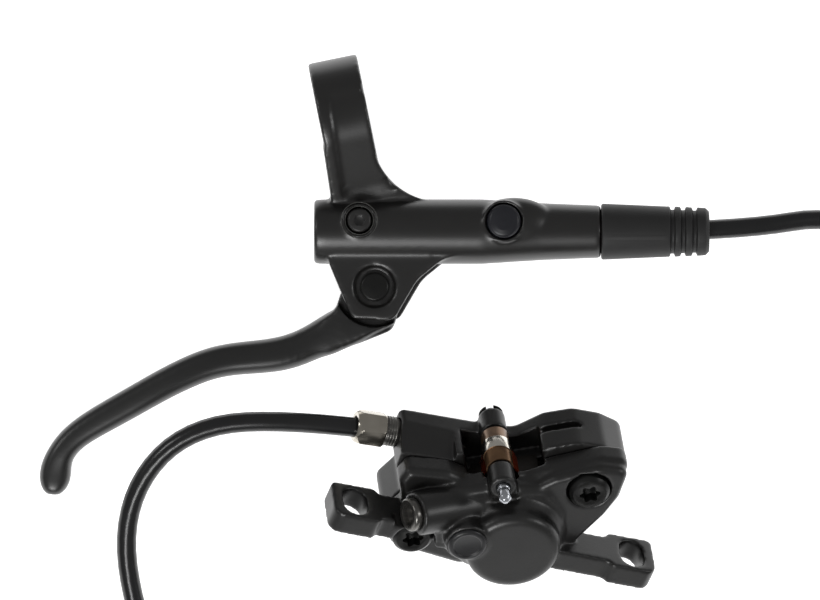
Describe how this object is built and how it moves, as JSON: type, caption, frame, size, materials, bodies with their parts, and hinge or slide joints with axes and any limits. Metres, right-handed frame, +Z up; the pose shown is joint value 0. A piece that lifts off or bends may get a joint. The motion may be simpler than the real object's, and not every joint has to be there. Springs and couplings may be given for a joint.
{
  "type": "hydraulic disc brake",
  "caption": "Bicycle hydraulic disc brake: bar-clamped lever with in-line master cylinder, hose and two-piston post-mount caliper.",
  "frame": {"origin": "centre of the handlebar clamp's bore", "axes": "+X along the master cylinder, towards the hose; +Z up from the flat surface that the brake lies on"},
  "size_m": [0.2322, 0.2068, 0.0457],
  "materials": {
    "black_anodised": "satin black anodised",
    "black_steel": "black oxide",
    "grey_plug": "dark grey, slightly domed",
    "rubber": "matte",
    "bearing_plastic": "plain bearing resin",
    "master_piston_alloy": "hard anodised",
    "spring_steel": "rolled spring steel",
    "zinc_steel": "zinc plated",
    "nickel": "bright nickel plated",
    "black_collar": "gloss black",
    "brass": "turned",
    "piston_resin": "moulded phenolic resin",
    "pad_steel": "stamped steel",
    "friction": "sintered metal",
    "plug_resin": "black, smooth",
    "hose_jacket": "semi-gloss black"
  },
  "bodies": {
    "brake": {"lever_body": "black_anodised", "pivot_pin": "black_steel", "pivot_circlip": "spring_steel", "master_spring": "spring_steel", "cylinder_end_cap": "black_anodised", "bleed_screw": "grey_plug", "bleed_screw_seal": "rubber", "reservoir_plug": "grey_plug", "clamp_bolt": "black_steel", "lever_olive": "brass", "lever_hose_nut": "nickel", "hose_cover": "rubber", "outer_half": "black_anodised", "inner_half": "black_anodised", "outer_piston_seal": "rubber", "inner_piston_seal": "rubber", "body_bolt_right": "black_steel", "body_bolt_left": "black_steel", "pad_pin": "zinc_steel", "pin_clip": "spring_steel", "pad_spring": "spring_steel", "bleed_nipple": "black_steel", "caliper_plug": "plug_resin", "passage_seal": "rubber", "caliper_olive": "brass", "port_collar": "black_collar", "caliper_hose_nut": "nickel", "hose_coil": "hose_jacket", "hose_lever_run": "hose_jacket", "hose_caliper_run": "hose_jacket"},
    "blade": {"lever_blade": "black_anodised", "pivot_bushes": "bearing_plastic"},
    "plunger": {"master_piston": "master_piston_alloy", "primary_seal": "rubber", "secondary_seal": "rubber"},
    "outer_pad": {"outer_piston": "piston_resin", "outer_pad_plate": "pad_steel", "outer_pad_friction": "friction"},
    "inner_pad": {"inner_piston": "piston_resin", "inner_pad_plate": "pad_steel", "inner_pad_friction": "friction"}
  },
  "joints": [
    {"name": "blade_pull", "type": "hinge", "parent": "brake", "child": "blade", "pos_m": [0.00785, -0.04277, -0.00677], "axis": [0, 0.1564, -0.9877], "range_deg": [0, 24], "stiffness_Nm_per_rad": 1.2, "springref_deg": -6.88},
    {"name": "master_slide", "type": "slide", "parent": "brake", "child": "plunger", "axis": [1, 0, 0], "range_m": [0, 0.0059], "deforming": ["master_spring"]},
    {"name": "outer_pad_slide", "type": "slide", "parent": "brake", "child": "outer_pad", "axis": [-0.108, 0.7668, -0.6327], "range_m": [0, 0.0007]},
    {"name": "inner_pad_slide", "type": "slide", "parent": "brake", "child": "inner_pad", "axis": [0.108, -0.7668, 0.6327], "range_m": [0, 0.0007]}
  ],
  "couplings": [
    {"joint": "master_slide", "follows": "blade_pull", "m_per_rad": 0.014078},
    {"joint": "outer_pad_slide", "follows": "blade_pull", "m_per_rad": 0.0016703},
    {"joint": "inner_pad_slide", "follows": "blade_pull", "m_per_rad": 0.0016703}
  ]
}
